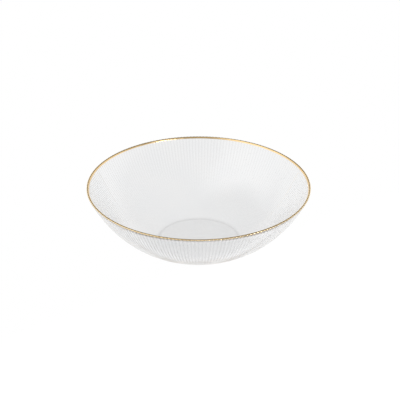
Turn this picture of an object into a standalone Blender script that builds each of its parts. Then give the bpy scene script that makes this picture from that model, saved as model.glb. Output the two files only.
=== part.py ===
"""Ribbed glass serving bowl with a gilt rim.

The bowl is one piece of pressed glass: a flat floor, a wall that flares up to a rounded lip, and fine
reeds that run up the outside from the foot to the lip. A gilt band wraps over the lip. The origin is
the middle of the foot's resting plane, and +Z points up through the mouth. All lengths are in metres.
"""

import math

import bmesh
import bpy

# Overall shape.
RIM_RADIUS = 0.130
HEIGHT = 0.078
FOOT_RADIUS = 0.050
FLOOR_THICKNESS = 0.0032
LIP_THICKNESS = 0.0024

# The wall leaves the foot and reaches the lip at these angles above the horizontal. The two reaches
# say how far the wall keeps to each of them.
FOOT_ANGLE = math.radians(21.0)
LIP_ANGLE = math.radians(65.0)
FOOT_REACH = 0.038
LIP_REACH = 0.0425

# Reeds on the outside. Down the wall, their depth falls with this power of the radius.
REEDS = 200
REED_DEPTH_AT_RIM = 0.00025
REED_FALL = 2

# The underside: a flat ring to stand on round a shallow domed recess.
RING_INNER_RADIUS = 0.044
RECESS_DEPTH = 0.0010
RECESS_RINGS = 4

# The gilt band over the lip, and the clearance between it and the glass.
GILT_THICKNESS = 0.00035
GILT_CLEARANCE = 0.0003
GILT_DEPTH = 0.0014

# How finely the round surfaces are cut into facets.
COLUMNS = 100
REED_COLUMNS = 2 * REEDS
WALL_RINGS = 7
INNER_RINGS = 10
GILT_OUTER_STEPS = 6
GILT_INNER_STEPS = 2

# The first reeded ring and the last free one, and the first ring of the inside, as shares of the
# way up the wall.
FIRST_REED_RING = 0.045
LAST_REED_RING = 0.86
FIRST_INNER_RING = 0.88

# Edges sharper than this show as edges, and the rest are shaded smooth.
GLASS_EDGE_ANGLE = math.radians(15.0)
GILT_EDGE_ANGLE = math.radians(40.0)

# The lip is a half circle about this point of the profile.
LIP_RADIUS = LIP_THICKNESS / 2
LIP_CENTRE = (RIM_RADIUS - LIP_RADIUS, HEIGHT - LIP_RADIUS)
UP_THE_WALL = (math.cos(LIP_ANGLE), math.sin(LIP_ANGLE))
OUT_OF_WALL = (math.sin(LIP_ANGLE), -math.cos(LIP_ANGLE))


def at_lip(outwards, upwards):
    """The profile point this far from the lip's centre, across the wall and along it."""
    return tuple(
        c + outwards * n + upwards * u
        for c, n, u in zip(LIP_CENTRE, OUT_OF_WALL, UP_THE_WALL)
    )


def lip_arc(radius, steps):
    """The profile points of a half circle over the lip, from the outer face to the inner face."""
    turns = [math.pi * i / steps for i in range(steps + 1)]
    return [at_lip(radius * math.cos(turn), radius * math.sin(turn)) for turn in turns]


def wall_controls():
    """The four control points of the outer wall's curve, from the foot up to the lip."""
    foot = (FOOT_RADIUS, 0.0)
    top = at_lip(LIP_RADIUS, 0.0)
    above_foot = (
        foot[0] + FOOT_REACH * math.cos(FOOT_ANGLE),
        foot[1] + FOOT_REACH * math.sin(FOOT_ANGLE),
    )
    below_top = (top[0] - LIP_REACH * UP_THE_WALL[0], top[1] - LIP_REACH * UP_THE_WALL[1])
    return foot, above_foot, below_top, top


def outer_wall(t):
    """The outer wall's (radius, height) at t, from 0 at the foot to 1 at the lip."""
    weights = ((1 - t) ** 3, 3 * (1 - t) ** 2 * t, 3 * (1 - t) * t**2, t**3)
    return tuple(sum(w * p[k] for w, p in zip(weights, wall_controls())) for k in (0, 1))


def wall_normal(t):
    """The outer wall's outward normal at t, as (radius, height)."""
    foot, above_foot, below_top, top = wall_controls()
    weights = ((1 - t) ** 2, 2 * (1 - t) * t, t**2)
    steps = ((foot, above_foot), (above_foot, below_top), (below_top, top))
    along = [sum(w * (b[k] - a[k]) for w, (a, b) in zip(weights, steps)) for k in (0, 1)]
    length = math.hypot(*along)
    return along[1] / length, -along[0] / length


def below_outer_wall(t, depth):
    """The profile point this deep under the outer wall at t."""
    radius, height = outer_wall(t)
    out, up = wall_normal(t)
    return radius - depth * out, height - depth * up


def wall_thickness(t):
    """The glass is thickest at the foot and thins evenly up to the lip."""
    return FLOOR_THICKNESS + t * (LIP_THICKNESS - FLOOR_THICKNESS)


def reed_depth(radius):
    """How deep the grooves between the reeds are at this radius."""
    return REED_DEPTH_AT_RIM * (radius / RIM_RADIUS) ** REED_FALL


def recess_point(share):
    """The dome's profile point at this share of the way from its middle to the ring."""
    return RING_INNER_RADIUS * share, RECESS_DEPTH * (1 + math.cos(math.pi * share)) / 2


def add_ring(mesh, point, columns=COLUMNS, groove=None):
    """A ring of vertices about Z through a profile point. Every second vertex goes to groove instead."""
    ring = []
    for column in range(columns):
        radius, height = groove if groove and column % 2 else point
        turn = 2 * math.pi * column / columns
        ring.append(mesh.verts.new((radius * math.cos(turn), radius * math.sin(turn), height)))
    return ring


def join_equal(mesh, lower, upper):
    """Quads between two rings of the same number of vertices."""
    for i in range(len(lower)):
        j = (i + 1) % len(lower)
        mesh.faces.new((lower[i], lower[j], upper[j], upper[i]))


def join_fine_to_coarse(mesh, fine, coarse):
    """Triangles between a ring and one with a whole number of times fewer vertices."""
    share = len(fine) // len(coarse)
    for i in range(len(coarse)):
        near, far = coarse[i], coarse[(i + 1) % len(coarse)]
        run = [fine[(share * i + k) % len(fine)] for k in range(share + 1)]
        middle = share // 2
        for k in range(share):
            mesh.faces.new((run[k], run[k + 1], near if k < middle else far))
        mesh.faces.new((near, run[middle], far))


def reeded_rings(mesh):
    """The rings of the outside, from just above the foot to the shoulder under the gilt band."""
    rings = []
    for i in range(WALL_RINGS):
        t = FIRST_REED_RING + (LAST_REED_RING - FIRST_REED_RING) * i / (WALL_RINGS - 1)
        crest = outer_wall(t)
        groove = below_outer_wall(t, reed_depth(crest[0]))
        rings.append(add_ring(mesh, crest, REED_COLUMNS, groove))
    shoulder = -GILT_DEPTH - GILT_CLEARANCE
    crest = at_lip(LIP_RADIUS, shoulder)
    groove = at_lip(LIP_RADIUS - REED_DEPTH_AT_RIM, shoulder)
    rings.append(add_ring(mesh, crest, REED_COLUMNS, groove))
    return rings


def smooth_rings(mesh):
    """The rings from the outer shoulder, over the tongue that the gilt band wraps, to the floor."""
    shoulder = -GILT_DEPTH - GILT_CLEARANCE
    tongue_radius = LIP_RADIUS - GILT_THICKNESS - GILT_CLEARANCE
    points = [at_lip(tongue_radius, shoulder)]
    points += lip_arc(tongue_radius, GILT_INNER_STEPS)
    points += [at_lip(-tongue_radius, shoulder), at_lip(-LIP_RADIUS, shoulder)]
    for i in range(INNER_RINGS):
        t = FIRST_INNER_RING * (1 - i / (INNER_RINGS - 1))
        points.append(below_outer_wall(t, wall_thickness(t)))
    return [add_ring(mesh, point) for point in points]


def glass_mesh():
    """The bowl's glass as one closed surface, made from rings about Z."""
    mesh = bmesh.new()

    # The outside, and over the lip down the inside to the floor.
    foot = add_ring(mesh, outer_wall(0.0))
    reeded = reeded_rings(mesh)
    smooth = smooth_rings(mesh)
    join_fine_to_coarse(mesh, reeded[0], foot)
    for lower, upper in zip(reeded, reeded[1:]):
        join_equal(mesh, lower, upper)
    join_fine_to_coarse(mesh, reeded[-1], smooth[0])
    for upper, lower in zip(smooth, smooth[1:]):
        join_equal(mesh, upper, lower)
    mesh.faces.new(smooth[-1])

    # The underside: the flat ring, and the domed recess inside it.
    underside = [foot]
    for i in range(RECESS_RINGS, 0, -1):
        underside.append(add_ring(mesh, recess_point(i / RECESS_RINGS)))
    for outer, inner in zip(underside, underside[1:]):
        join_equal(mesh, outer, inner)
    mesh.faces.new(underside[-1])
    return mesh


def gilt_mesh():
    """The gilt band: a thin channel, upside down over the lip."""
    outside = [at_lip(LIP_RADIUS, -GILT_DEPTH)]
    outside += lip_arc(LIP_RADIUS, GILT_OUTER_STEPS)
    outside += [at_lip(-LIP_RADIUS, -GILT_DEPTH)]
    inner_radius = LIP_RADIUS - GILT_THICKNESS
    inside = [at_lip(inner_radius, -GILT_DEPTH)]
    inside += lip_arc(inner_radius, GILT_INNER_STEPS)
    inside += [at_lip(-inner_radius, -GILT_DEPTH)]
    mesh = bmesh.new()
    rings = [add_ring(mesh, point) for point in outside + inside[::-1]]
    for ring, following in zip(rings, rings[1:] + rings[:1]):
        join_equal(mesh, ring, following)
    return mesh


def glass_material():
    material = bpy.data.materials.new("clear_glass")
    material.use_nodes = True
    shader = material.node_tree.nodes["Principled BSDF"]
    shader.inputs["Base Color"].default_value = (0.93, 0.95, 0.95, 1.0)
    shader.inputs["Roughness"].default_value = 0.02
    shader.inputs["IOR"].default_value = 1.5
    shader.inputs["Transmission Weight"].default_value = 1.0
    return material


def gilt_material():
    material = bpy.data.materials.new("gilt")
    material.use_nodes = True
    shader = material.node_tree.nodes["Principled BSDF"]
    shader.inputs["Base Color"].default_value = (0.78, 0.57, 0.28, 1.0)
    shader.inputs["Roughness"].default_value = 0.25
    shader.inputs["Metallic"].default_value = 1.0
    return material


def add_node(name, mesh, material, edge_angle, parent):
    """One named sub-part, shaded smooth except along its real edges."""
    bmesh.ops.recalc_face_normals(mesh, faces=mesh.faces)
    data = bpy.data.meshes.new(name)
    mesh.to_mesh(data)
    mesh.free()
    data.shade_smooth()
    data.set_sharp_from_angle(angle=edge_angle)
    data.materials.append(material)
    node = bpy.data.objects.new(name, data)
    node.parent = parent
    bpy.context.scene.collection.objects.link(node)


def main():
    for old in list(bpy.data.objects):
        bpy.data.objects.remove(old)
    bowl = bpy.data.objects.new("serving_bowl", None)
    bpy.context.scene.collection.objects.link(bowl)
    add_node("glass_bowl", glass_mesh(), glass_material(), GLASS_EDGE_ANGLE, bowl)
    add_node("gilt_rim", gilt_mesh(), gilt_material(), GILT_EDGE_ANGLE, bowl)


main()
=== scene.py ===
"""The looks of a ribbed glass serving bowl with a gilt rim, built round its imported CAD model.

Both pieces are turned about Z from a half profile. The glass has fine rounded reeds on its outside and a
smooth inside. The gilt is a thin film that wraps the lip and follows its scallops. Lengths are in
metres.
"""

import math

import bpy
import numpy as np
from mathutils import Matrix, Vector


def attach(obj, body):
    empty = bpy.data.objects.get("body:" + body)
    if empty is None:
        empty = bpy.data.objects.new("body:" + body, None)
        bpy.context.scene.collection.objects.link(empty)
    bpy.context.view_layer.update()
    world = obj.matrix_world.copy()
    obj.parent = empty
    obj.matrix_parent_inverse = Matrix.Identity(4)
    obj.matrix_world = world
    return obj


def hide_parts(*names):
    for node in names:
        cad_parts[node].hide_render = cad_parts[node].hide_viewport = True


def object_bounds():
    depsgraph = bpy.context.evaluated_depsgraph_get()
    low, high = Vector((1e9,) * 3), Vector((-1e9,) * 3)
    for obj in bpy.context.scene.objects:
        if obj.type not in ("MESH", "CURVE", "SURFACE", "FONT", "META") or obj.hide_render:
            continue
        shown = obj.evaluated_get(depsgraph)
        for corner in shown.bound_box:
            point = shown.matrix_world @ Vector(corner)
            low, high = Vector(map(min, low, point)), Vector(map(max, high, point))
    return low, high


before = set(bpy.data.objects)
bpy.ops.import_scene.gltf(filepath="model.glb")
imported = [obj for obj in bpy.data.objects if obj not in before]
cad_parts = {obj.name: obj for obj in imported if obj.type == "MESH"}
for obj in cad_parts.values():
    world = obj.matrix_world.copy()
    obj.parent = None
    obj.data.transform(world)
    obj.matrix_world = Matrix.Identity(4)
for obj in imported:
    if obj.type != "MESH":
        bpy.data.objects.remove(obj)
CAD_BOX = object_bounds()

# The bowl's shape. The rim and the height come from the frame, and the rest repeats the CAD.
RIM_RADIUS = CAD_BOX[1].x
HEIGHT = CAD_BOX[1].z
FOOT_RADIUS = 0.050
FLOOR_THICKNESS = 0.0032
LIP_THICKNESS = 0.0024
FOOT_ANGLE = math.radians(21.0)
LIP_ANGLE = math.radians(65.0)
FOOT_REACH = 0.038
LIP_REACH = 0.0425
REEDS = 200
REED_DEPTH_AT_RIM = 0.00025
REED_FALL = 2
RING_INNER_RADIUS = 0.044
RECESS_DEPTH = 0.0010

# The grooves deepen into scallops at the lip, over this much of the radius.
SCALLOP_DEPTH = 0.0006
SCALLOP_REACH = 0.002

# The radii that round the foot's outer edge and the crease between the floor and the inside. The foot's
# is tangent to the chord from the foot to this share of the way up the wall.
FOOT_ROUNDING = 0.0025
FLOOR_ROUNDING = 0.008
FOOT_CHORD_END = 0.05

# How finely the two pieces are cut.
COLUMNS_PER_REED = 6
COLUMNS = REEDS * COLUMNS_PER_REED
OUTER_RINGS = 40
INNER_RINGS = 22
LIP_STEPS = 8
CORNER_STEPS = 4
RECESS_RINGS = 8

# Where the rings start and end: the first two are shares of the way up the wall, and the last is a
# share of the recess's radius.
FIRST_OUTER_RING = 0.03
LAST_INNER_RING = 0.04
FIRST_RECESS_RING = 0.1

# Edges sharper than this show as edges, and the rest are shaded smooth.
EDGE_ANGLE = math.radians(60.0)

# The gilt film: how far it comes down the inside, and how it lies on the glass.
FILM_DEPTH_INSIDE = 0.0014
FILM_THICKNESS = 0.00005
FILM_GAP = 0.00001

# The inner edge of the film wavers this much, in waves round the rim: (count, share, phase).
FILM_WAVER = 0.00006
FILM_WAVES = [(13, 0.5, 2.2), (37, 0.3, 0.7), (89, 0.2, 5.1)]

# The glass's grey at some radii: its own tint, with painted shade. A painted dark line lies in the
# crease round the floor. The floor is darker, partly for its thicker glass and partly as painted shade,
# and the grey is lightest at the rim.
GLASS_TINT_AND_PAINTED_SHADE = [
    (0.0, 0.87),
    (0.0455, 0.87),
    (0.0485, 0.77),
    (0.052, 0.885),
    (0.080, 0.87),
    (0.130, 0.905),
]
CLOUDY_TONES = (0.985, 0.99, 0.995), (1.0, 1.0, 1.0)
GLASS_IOR = 1.5
GLASS_ROUGHNESS = (0.0, 0.03)

# In the grooves the glass is painted darker, as painted shade. Down the wall, the effect falls with this
# power of their depth.
GLASS_GROOVE_PAINTED_SHADE = (0.77, 0.77, 0.775)
GROOVE_FALL = 2

# The gilt varies between these two tones, and is paler in the grooves.
GILT_TONES = (0.92, 0.66, 0.34), (0.98, 0.72, 0.38)
GILT_GROOVE_TONE = (1.0, 0.84, 0.52)
GILT_ROUGHNESS = (0.12, 0.28)

# The noise in the materials, in features per metre.
GLASS_CLOUDS = 30.0
GLASS_POLISH = 90.0
GLASS_WAVES = 70.0
GILT_PATCHES = 60.0
GILT_GLOSS = 400.0
GILT_GRAIN = 1500.0

# Fine relief: how deep it is, and its strength.
GLASS_RELIEF = (0.0003, 0.1)
GILT_RELIEF = (0.0001, 0.3)

# Noise mostly keeps to the first of these ranges, and tones change over the second.
NOISE_RANGE = (0.3, 0.7)
TONE_RANGE = (0.35, 0.65)

# The camera is this far from the middle of the gilt line, and aims a little lower than it.
CAMERA_DISTANCE = 1.1428
CAMERA_ELEVATION = math.radians(27.48)
CAMERA_PITCH = math.radians(28.45)
CAMERA_YAW = math.radians(0.088)
CAMERA_LENS = 88.35
CAMERA_SENSOR = 36.0

# The table lies just under the foot. It glows, with a painted pool of light that brightens towards this
# azimuth over this range of distances.
TABLE_HALF_WIDTH = 6.0
TABLE_GAP = 0.0002
TABLE_PAINTED_LIGHT_SIDE = 35.0
TABLE_PAINTED_LIGHT_RISE = (0.04, 0.20)
TABLE_PAINTED_LIGHT_PEAK = 1.35

# The studio is white up to the first of these sines of the elevation, and dim above the second one.
STUDIO_WHITE_UP_TO = 0.25
STUDIO_DIM_FROM = 0.45
STUDIO_DIM_TONE = (0.4, 0.4, 0.41)

# Soft patches in the studio: (azimuth, elevation), how far each reaches in degrees, and its tone.
STUDIO_PATCHES = [
    ((-68.0, 40.0), 50.0, (1.3, 1.3, 1.3)),
    ((-172.0, 52.0), 45.0, (0.05, 0.05, 0.05)),
    ((0.0, 30.0), 30.0, (0.45, 0.45, 0.45)),
    ((-118.0, 62.0), 32.0, (0.05, 0.05, 0.05)),
]

# A softbox to the right: its azimuth and elevation, its distance, its width and height, and its power.
SOFTBOX_PLACE = (36.0, 20.0)
SOFTBOX_DISTANCE = 1.6
SOFTBOX_SIZE = (0.5, 0.25)
SOFTBOX_POWER = 4.0

# Light passes through many layers of glass before it is dropped.
LIGHT_BOUNCES = 128

# The lip is a half circle about this point of the profile.
LIP_RADIUS = LIP_THICKNESS / 2
UP_THE_WALL = np.array((math.cos(LIP_ANGLE), math.sin(LIP_ANGLE)))
OUT_OF_WALL = np.array((math.sin(LIP_ANGLE), -math.cos(LIP_ANGLE)))
LIP_CENTRE = np.array((RIM_RADIUS - LIP_RADIUS, HEIGHT - LIP_RADIUS))
LIP_START_RADIUS = LIP_CENTRE[0] + LIP_RADIUS * OUT_OF_WALL[0]

# The glass has a ring at each of these turns over the lip. The film starts at the second of them.
LIP_TURNS = np.linspace(0.0, math.pi, LIP_STEPS + 1)[1:-1]
FILM_TURNS = LIP_TURNS[1:]


# The half profile. Points are (radius, height).


def wall_controls():
    """The four control points of the outer wall's curve, from the foot up to the lip."""
    foot = np.array((FOOT_RADIUS, 0.0))
    top = LIP_CENTRE + LIP_RADIUS * OUT_OF_WALL
    leaving = np.array((math.cos(FOOT_ANGLE), math.sin(FOOT_ANGLE)))
    return foot, foot + FOOT_REACH * leaving, top - LIP_REACH * UP_THE_WALL, top


def wall_point(t, depth=0.0):
    """The point at this depth under the outer wall, at t from 0 at the foot to 1 at the lip."""
    a, b, c, d = wall_controls()
    point = (1 - t) ** 3 * a + 3 * (1 - t) ** 2 * t * b + 3 * (1 - t) * t**2 * c + t**3 * d
    along = (1 - t) ** 2 * (b - a) + 2 * (1 - t) * t * (c - b) + t**2 * (d - c)
    along = along / np.linalg.norm(along)
    return point - depth * np.array((along[1], -along[0]))


def wall_thickness(t):
    """The glass is thickest at the foot and thins evenly up to the lip."""
    return FLOOR_THICKNESS + t * (LIP_THICKNESS - FLOOR_THICKNESS)


def lip_point(turn, radius=LIP_RADIUS):
    """A point of the half circle over the lip, at turn from 0 on the outer side to pi on the inner."""
    return LIP_CENTRE + radius * (math.cos(turn) * OUT_OF_WALL + math.sin(turn) * UP_THE_WALL)


def below_lip(distance):
    """The wall's t at this distance below its top, where t gains 1 in three times the lip's reach."""
    return 1.0 - distance / (3 * LIP_REACH)


def reed_depth(radius):
    """How deep the grooves are at this radius, with the scallops at the lip."""
    depth = REED_DEPTH_AT_RIM * (radius / RIM_RADIUS) ** REED_FALL
    near_lip = min(max(1 - (LIP_START_RADIUS - radius) / SCALLOP_REACH, 0.0), 1.0)
    return depth + (SCALLOP_DEPTH - depth) * near_lip**2


def wall_groove(t):
    """How deep the grooves are at t up the outer wall."""
    return reed_depth(wall_point(t)[0])


def lip_reed_depth(turn):
    """How deep the scallops are over the lip: they fade out towards its inner side."""
    return SCALLOP_DEPTH * (1 + math.cos(turn)) / 2


def rounded_corner(before, corner, after, radius):
    """The points of an arc that rounds a corner between two straight stretches."""
    to_before = (before - corner) / np.linalg.norm(before - corner)
    to_after = (after - corner) / np.linalg.norm(after - corner)
    half = math.acos(float(np.clip(to_before @ to_after, -1.0, 1.0))) / 2
    middle = to_before + to_after
    centre = corner + middle / np.linalg.norm(middle) * radius / math.sin(half)
    start = corner + to_before * radius / math.tan(half) - centre
    end = corner + to_after * radius / math.tan(half) - centre
    points = []
    for i in range(CORNER_STEPS + 1):
        spoke = start + (end - start) * i / CORNER_STEPS
        points.append(centre + spoke / np.linalg.norm(spoke) * radius)
    return points


# Turning a profile. A ring is a pair of profile points: one on a reed's crest, one in the groove.


def groove_share():
    """How far each column lies from its reed's crest towards the groove: a rounded reed."""
    place = np.arange(COLUMNS) % COLUMNS_PER_REED / COLUMNS_PER_REED
    return (2 * place - 1) ** 2


def smooth_ring(point):
    """A ring with no reeds."""
    return point, point


def turned_vertices(rings, shifts=None):
    """The vertices of all rings. A shift moves a ring's columns one by one along the wall."""
    share = groove_share()
    turn = 2 * math.pi * np.arange(COLUMNS) / COLUMNS
    parts = []
    for i, (crest, groove) in enumerate(rings):
        radius = crest[0] + share * (groove[0] - crest[0])
        height = crest[1] + share * (groove[1] - crest[1])
        if shifts and shifts[i] is not None:
            radius = radius + shifts[i] * UP_THE_WALL[0]
            height = height + shifts[i] * UP_THE_WALL[1]
        parts.append(np.stack((radius * np.cos(turn), radius * np.sin(turn), height), axis=1))
    return np.concatenate(parts)


def turned_quads(count, closed):
    """Quads between each ring and the next, and back to the first if the profile is closed."""
    this = np.arange(COLUMNS)
    after = (this + 1) % COLUMNS
    quads = []
    for i in range(count if closed else count - 1):
        lower, upper = i * COLUMNS, (i + 1) % count * COLUMNS
        quads.append(np.stack((lower + this, lower + after, upper + after, upper + this), axis=1))
    return np.concatenate(quads).tolist()


def groove_values(rings):
    """How strongly each vertex shows as a groove: 0 on a crest or on plain glass, 1 in a deep groove. It
    masks the glass's painted shade and the gilt's paler tone.
    """
    depths = [np.linalg.norm(np.subtract(crest, groove)) for crest, groove in rings]
    strength = np.minimum(np.array(depths) / REED_DEPTH_AT_RIM, 1.0) ** GROOVE_FALL
    return np.outer(strength, groove_share()).ravel()


def turned_piece(name, rings, closed=False, shifts=None):
    """A mesh object from rings listed so that its surface faces outwards. An open one gets end caps."""
    faces = turned_quads(len(rings), closed)
    if not closed:
        last = (len(rings) - 1) * COLUMNS
        faces.append(list(range(COLUMNS))[::-1])
        faces.append(list(range(last, last + COLUMNS)))
    mesh = bpy.data.meshes.new(name)
    mesh.from_pydata(turned_vertices(rings, shifts).tolist(), [], faces)
    mesh.update()
    mesh.shade_smooth()
    mesh.set_sharp_from_angle(angle=EDGE_ANGLE)
    grooves = mesh.attributes.new("groove", "FLOAT", "POINT")
    grooves.data.foreach_set("value", groove_values(rings))
    piece = bpy.data.objects.new(name, mesh)
    bpy.context.scene.collection.objects.link(piece)
    return piece


# The two pieces.


def underside_rings():
    """From the middle of the shallow domed recess out to the foot's rounded edge."""
    points = []
    for share in np.linspace(FIRST_RECESS_RING, 1.0, RECESS_RINGS):
        height = RECESS_DEPTH * (1 + math.cos(math.pi * share)) / 2
        points.append(np.array((RING_INNER_RADIUS * share, height)))
    foot = wall_point(0.0)
    points += rounded_corner(points[-1], foot, wall_point(FOOT_CHORD_END), FOOT_ROUNDING)
    return [smooth_ring(point) for point in points]


def outside_rings():
    """Up the reeded outside, from just above the foot to where the lip's half circle starts."""
    rings = []
    for t in np.linspace(FIRST_OUTER_RING, 1.0, OUTER_RINGS):
        rings.append((wall_point(t), wall_point(t, wall_groove(t))))
    return rings


def lip_rings(turns, lift=0.0):
    """The rings at these turns over the lip. Lift raises them off the glass."""
    rings = []
    for turn in turns:
        crest = lip_point(turn, LIP_RADIUS + lift)
        groove = lip_point(turn, LIP_RADIUS + lift - lip_reed_depth(turn))
        rings.append((crest, groove))
    return rings


def inside_rings():
    """Down the inside, and round the crease into the floor."""
    points = []
    for t in np.linspace(1.0, LAST_INNER_RING, INNER_RINGS):
        points.append(wall_point(t, wall_thickness(t)))
    crease = wall_point(0.0, wall_thickness(0.0))
    floor_middle = np.array((0.0, crease[1]))
    points += rounded_corner(points[-1], crease, floor_middle, FLOOR_ROUNDING)
    return [smooth_ring(point) for point in points]


def make_glass():
    """The bowl's glass as one closed surface."""
    rings = underside_rings() + outside_rings() + lip_rings(LIP_TURNS) + inside_rings()
    return turned_piece("bowl_glass", rings)


def film_side(lift):
    """One face of the film, from its outer edge over the lip to its inner edge."""
    rings = lip_rings(FILM_TURNS, lift)
    for distance in (0.0, FILM_DEPTH_INSIDE / 2, FILM_DEPTH_INSIDE):
        t = below_lip(distance)
        rings.append(smooth_ring(wall_point(t, wall_thickness(t) + lift)))
    return rings


def brushed_edge():
    """How far each column of the film's inner edge is shifted up the wall."""
    turn = 2 * math.pi * np.arange(COLUMNS) / COLUMNS
    waves = [share * np.sin(count * turn + phase) for count, share, phase in FILM_WAVES]
    return FILM_WAVER * sum(waves)


def make_film():
    """The gilt film as one closed shell whose inner edge wavers as a brushed line does."""
    top = film_side(FILM_GAP + FILM_THICKNESS)
    under = film_side(FILM_GAP)
    shifts = [None] * (len(top) - 1) + [brushed_edge()]
    return turned_piece("gilt_film", top + under[::-1], closed=True, shifts=shifts + shifts[::-1])


# Materials.


def new_material(name):
    """A material with its nodes, its links and its Principled shader."""
    material = bpy.data.materials.new(name)
    material.use_nodes = True
    nodes = material.node_tree.nodes
    return material, nodes, material.node_tree.links, nodes["Principled BSDF"]


def noise(nodes, links, scale, detail=3.0):
    """Noise in the object's own metres, so that scale is in features per metre."""
    place = nodes.new("ShaderNodeTexCoord")
    texture = nodes.new("ShaderNodeTexNoise")
    texture.inputs["Scale"].default_value = scale
    texture.inputs["Detail"].default_value = detail
    links.new(place.outputs["Object"], texture.inputs["Vector"])
    return texture.outputs["Fac"]


def spread(nodes, links, value, low, high):
    """Maps a noise value onto low to high."""
    mapped = nodes.new("ShaderNodeMapRange")
    mapped.inputs["From Min"].default_value = NOISE_RANGE[0]
    mapped.inputs["From Max"].default_value = NOISE_RANGE[1]
    mapped.inputs["To Min"].default_value = low
    mapped.inputs["To Max"].default_value = high
    links.new(value, mapped.inputs["Value"])
    return mapped.outputs["Result"]


def two_tone(nodes, links, value, first, second):
    """A colour between two tones, by a noise value."""
    ramp = nodes.new("ShaderNodeValToRGB")
    for stop, position, tone in zip(ramp.color_ramp.elements, TONE_RANGE, (first, second)):
        stop.position = position
        stop.color = (*tone, 1.0)
    links.new(value, ramp.inputs["Fac"])
    return ramp.outputs["Color"]


def bump(nodes, links, height, distance, strength):
    """The normals of a relief this many metres deep at full strength."""
    node = nodes.new("ShaderNodeBump")
    node.inputs["Distance"].default_value = distance
    node.inputs["Strength"].default_value = strength
    links.new(height, node.inputs["Height"])
    return node.outputs["Normal"]


def tone_by_radius(nodes, links, tones):
    """A grey that depends on the distance from the bowl's axis, from a list of (radius, grey)."""
    place = nodes.new("ShaderNodeTexCoord")
    flat = nodes.new("ShaderNodeVectorMath")
    flat.operation = "MULTIPLY"
    flat.inputs[1].default_value = (1 / RIM_RADIUS, 1 / RIM_RADIUS, 0.0)
    links.new(place.outputs["Object"], flat.inputs[0])
    distance = nodes.new("ShaderNodeVectorMath")
    distance.operation = "LENGTH"
    links.new(flat.outputs["Vector"], distance.inputs[0])
    ramp = nodes.new("ShaderNodeValToRGB")
    stops = ramp.color_ramp.elements
    while len(stops) < len(tones):
        stops.new(0.5)
    for stop, (radius, grey) in zip(stops, tones):
        stop.position = radius / RIM_RADIUS
        stop.color = (grey, grey, grey, 1.0)
    links.new(distance.outputs["Value"], ramp.inputs["Fac"])
    return ramp.outputs["Color"]


def multiplied(nodes, links, first, second):
    """One colour times another."""
    mix = nodes.new("ShaderNodeMix")
    mix.data_type = "RGBA"
    mix.blend_type = "MULTIPLY"
    mix.inputs["Factor"].default_value = 1.0
    links.new(first, mix.inputs["A"])
    links.new(second, mix.inputs["B"])
    return mix.outputs["Result"]


def grooved(nodes, links, tone, groove_tone):
    """A tone that turns into another one in the grooves between the reeds: painted shade on the glass, a
    paler tone on the gilt.
    """
    grooves = nodes.new("ShaderNodeAttribute")
    grooves.attribute_name = "groove"
    mix = nodes.new("ShaderNodeMix")
    mix.data_type = "RGBA"
    mix.inputs["B"].default_value = (*groove_tone, 1.0)
    links.new(grooves.outputs["Fac"], mix.inputs["Factor"])
    links.new(tone, mix.inputs["A"])
    return mix.outputs["Result"]


def glass_material():
    """Clear pressed glass: a little grey, fire-polished, with the mould's faint waviness. It has painted
    shade over the floor, in the crease round it and in the grooves.
    """
    material, nodes, links, shader = new_material("clear_glass")
    shader.inputs["Transmission Weight"].default_value = 1.0
    shader.inputs["IOR"].default_value = GLASS_IOR
    cloudy = two_tone(nodes, links, noise(nodes, links, GLASS_CLOUDS), *CLOUDY_TONES)
    # The grey by radius holds painted shade over the floor and in the crease round it.
    tone = multiplied(nodes, links, tone_by_radius(nodes, links, GLASS_TINT_AND_PAINTED_SHADE), cloudy)
    # The grooves are painted darker: painted shade.
    links.new(grooved(nodes, links, tone, GLASS_GROOVE_PAINTED_SHADE), shader.inputs["Base Color"])
    roughness = spread(nodes, links, noise(nodes, links, GLASS_POLISH), *GLASS_ROUGHNESS)
    links.new(roughness, shader.inputs["Roughness"])
    relief = bump(nodes, links, noise(nodes, links, GLASS_WAVES, detail=1.0), *GLASS_RELIEF)
    links.new(relief, shader.inputs["Normal"])
    return material


def gilt_material():
    """Fired gold, brushed on, with soft patches of tone and gloss and a fine relief."""
    material, nodes, links, shader = new_material("gilt")
    shader.inputs["Metallic"].default_value = 1.0
    tone = two_tone(nodes, links, noise(nodes, links, GILT_PATCHES), *GILT_TONES)
    links.new(grooved(nodes, links, tone, GILT_GROOVE_TONE), shader.inputs["Base Color"])
    roughness = spread(nodes, links, noise(nodes, links, GILT_GLOSS), *GILT_ROUGHNESS)
    links.new(roughness, shader.inputs["Roughness"])
    relief = bump(nodes, links, noise(nodes, links, GILT_GRAIN), *GILT_RELIEF)
    links.new(relief, shader.inputs["Normal"])
    return material


# The studio.


def towards(azimuth, elevation):
    """The unit vector to a place in the studio. Azimuth 0 is the camera's side, and 90 is its right."""
    a, e = math.radians(azimuth), math.radians(elevation)
    return math.sin(a) * math.cos(e), -math.cos(a) * math.cos(e), math.sin(e)


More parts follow.
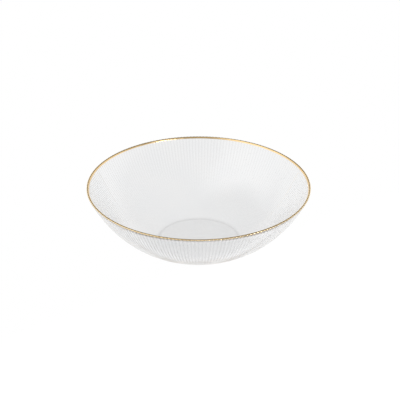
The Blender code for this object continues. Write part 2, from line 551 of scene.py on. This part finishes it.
def table_material():
    """A white glow with a painted pool of light, brightest in front of the bowl to the right."""
    material, nodes, links, shader = new_material("white_table")
    nodes.remove(shader)
    place = nodes.new("ShaderNodeTexCoord")
    forward = nodes.new("ShaderNodeVectorMath")
    forward.operation = "DOT_PRODUCT"
    forward.inputs[1].default_value = towards(TABLE_PAINTED_LIGHT_SIDE, 0.0)
    links.new(place.outputs["Object"], forward.inputs[0])
    # The painted pool of light: the glow grows towards the front right.
    strength = nodes.new("ShaderNodeMapRange")
    strength.interpolation_type = "SMOOTHSTEP"
    strength.inputs["From Min"].default_value = TABLE_PAINTED_LIGHT_RISE[0]
    strength.inputs["From Max"].default_value = TABLE_PAINTED_LIGHT_RISE[1]
    strength.inputs["To Min"].default_value = 1.0
    strength.inputs["To Max"].default_value = TABLE_PAINTED_LIGHT_PEAK
    links.new(forward.outputs["Value"], strength.inputs["Value"])
    glow = nodes.new("ShaderNodeEmission")
    glow.inputs["Color"].default_value = (1.0, 1.0, 1.0, 1.0)
    links.new(strength.outputs["Result"], glow.inputs["Strength"])
    links.new(glow.outputs["Emission"], nodes["Material Output"].inputs["Surface"])
    return material


def make_floor():
    """A glowing table that reads as pure white, with a painted pool of light in front to the right."""
    mesh = bpy.data.meshes.new("floor")
    side = TABLE_HALF_WIDTH
    corners = [(-side, -side, 0), (side, -side, 0), (side, side, 0), (-side, side, 0)]
    mesh.from_pydata(corners, [], [(0, 1, 2, 3)])
    mesh.materials.append(table_material())
    floor = bpy.data.objects.new("floor", mesh)
    floor.location.z = -TABLE_GAP
    bpy.context.scene.collection.objects.link(floor)


def studio_patch(nodes, links, direction, colour, place, reach, tone):
    """A soft round patch of the studio's surroundings, over what is there already."""
    closeness = nodes.new("ShaderNodeVectorMath")
    closeness.operation = "DOT_PRODUCT"
    closeness.inputs[1].default_value = towards(*place)
    links.new(direction, closeness.inputs[0])
    share = nodes.new("ShaderNodeMapRange")
    share.interpolation_type = "SMOOTHSTEP"
    share.inputs["From Min"].default_value = math.cos(math.radians(reach))
    links.new(closeness.outputs["Value"], share.inputs["Value"])
    mix = nodes.new("ShaderNodeMix")
    mix.data_type = "RGBA"
    mix.inputs["B"].default_value = (*tone, 1.0)
    links.new(share.outputs["Result"], mix.inputs["Factor"])
    links.new(colour, mix.inputs["A"])
    return mix.outputs["Result"]


def make_world():
    """White all round the horizon and dimmer above it, with the soft patches over that."""
    world = bpy.data.worlds.new("studio")
    bpy.context.scene.world = world
    world.use_nodes = True
    nodes, links = world.node_tree.nodes, world.node_tree.links
    place = nodes.new("ShaderNodeTexCoord")
    direction = place.outputs["Generated"]
    split = nodes.new("ShaderNodeSeparateXYZ")
    ramp = nodes.new("ShaderNodeValToRGB")
    links.new(direction, split.inputs["Vector"])
    links.new(split.outputs["Z"], ramp.inputs["Fac"])
    low, high = ramp.color_ramp.elements
    low.position = STUDIO_WHITE_UP_TO
    low.color = (1.0, 1.0, 1.0, 1.0)
    high.position = STUDIO_DIM_FROM
    high.color = (*STUDIO_DIM_TONE, 1.0)
    colour = ramp.outputs["Color"]
    for patch in STUDIO_PATCHES:
        colour = studio_patch(nodes, links, direction, colour, *patch)
    links.new(colour, nodes["Background"].inputs["Color"])


def make_softbox():
    """An area light that faces the rim's middle. It isn't seen directly or through the glass."""
    light = bpy.data.lights.new("softbox_right", "AREA")
    light.shape = "RECTANGLE"
    light.size, light.size_y = SOFTBOX_SIZE
    light.energy = SOFTBOX_POWER
    lamp = bpy.data.objects.new("softbox_right", light)
    away = Vector(towards(*SOFTBOX_PLACE))
    lamp.location = Vector((0, 0, HEIGHT)) + away * SOFTBOX_DISTANCE
    lamp.rotation_euler = away.to_track_quat("Z", "Y").to_euler()
    lamp.visible_camera = False
    lamp.visible_transmission = False
    bpy.context.scene.collection.objects.link(lamp)


def make_camera():
    """The camera stands in front of the bowl, on -Y."""
    camera = bpy.data.objects.new("camera", bpy.data.cameras.new("camera"))
    camera.data.lens = CAMERA_LENS
    camera.data.sensor_width = CAMERA_SENSOR
    camera.location = (
        0.0,
        -CAMERA_DISTANCE * math.cos(CAMERA_ELEVATION),
        LIP_CENTRE[1] + LIP_RADIUS / 2 + CAMERA_DISTANCE * math.sin(CAMERA_ELEVATION),
    )
    camera.rotation_euler = (math.pi / 2 - CAMERA_PITCH, 0.0, -CAMERA_YAW)
    bpy.context.scene.collection.objects.link(camera)
    bpy.context.scene.camera = camera


def fit_to_frame(piece, material, node):
    """Gives a piece its material and its place in the frame."""
    piece.data.materials.append(material)
    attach(piece, "root")
    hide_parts(node)


def main():
    make_camera()
    make_floor()
    make_world()
    make_softbox()
    fit_to_frame(make_glass(), glass_material(), "glass_bowl")
    fit_to_frame(make_film(), gilt_material(), "gilt_rim")
    scene = bpy.context.scene
    scene.view_settings.view_transform = "Standard"
    scene.cycles.max_bounces = LIGHT_BOUNCES
    scene.cycles.transmission_bounces = LIGHT_BOUNCES
    scene.cycles.glossy_bounces = LIGHT_BOUNCES


main()
